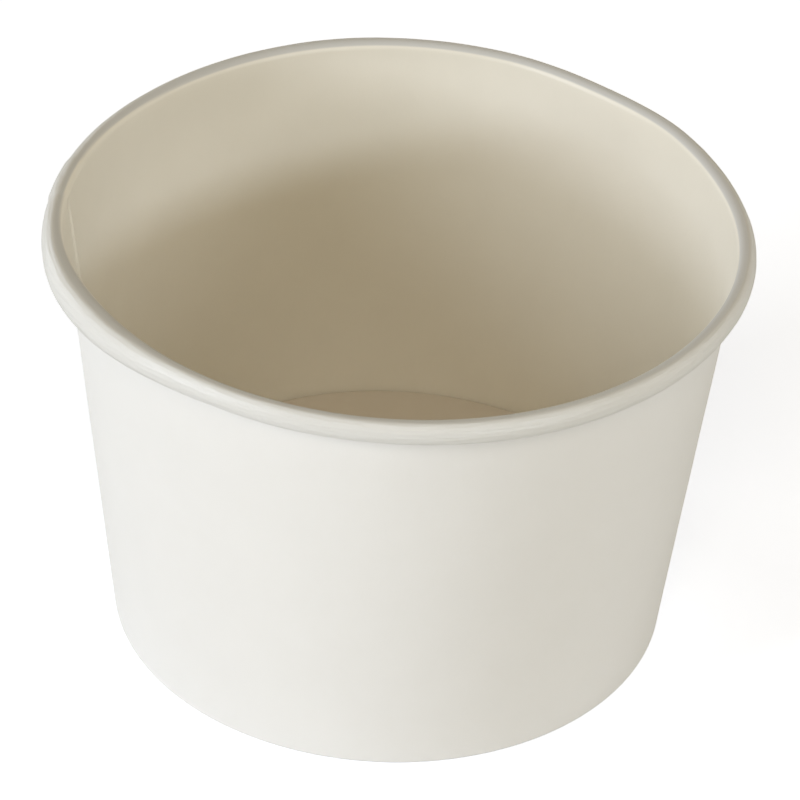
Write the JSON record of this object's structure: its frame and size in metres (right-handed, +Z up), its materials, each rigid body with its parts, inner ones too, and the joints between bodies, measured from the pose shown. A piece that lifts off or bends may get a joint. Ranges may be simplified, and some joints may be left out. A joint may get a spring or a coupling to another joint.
{
  "type": "paper sundae cup",
  "caption": "Squat round paper cup for a sundae, tapering to its foot, with a rolled rim and a flat floor set up inside the wall. Plain off-white board, no lid.",
  "frame": {"origin": "centre of the foot, on the surface that the cup stands on", "axes": "+Z up along the cup's axis; -Y towards the side that the picture shows, so +X is the picture's right"},
  "size_m": [0.095, 0.095, 0.0627],
  "materials": {
    "wall_board": "coated paperboard, smooth and slightly satin",
    "base_board": "coated paperboard, smooth and slightly satin"
  },
  "bodies": {
    "root": {"side_wall": "wall_board", "base_disc": "base_board"}
  },
  "joints": []
}
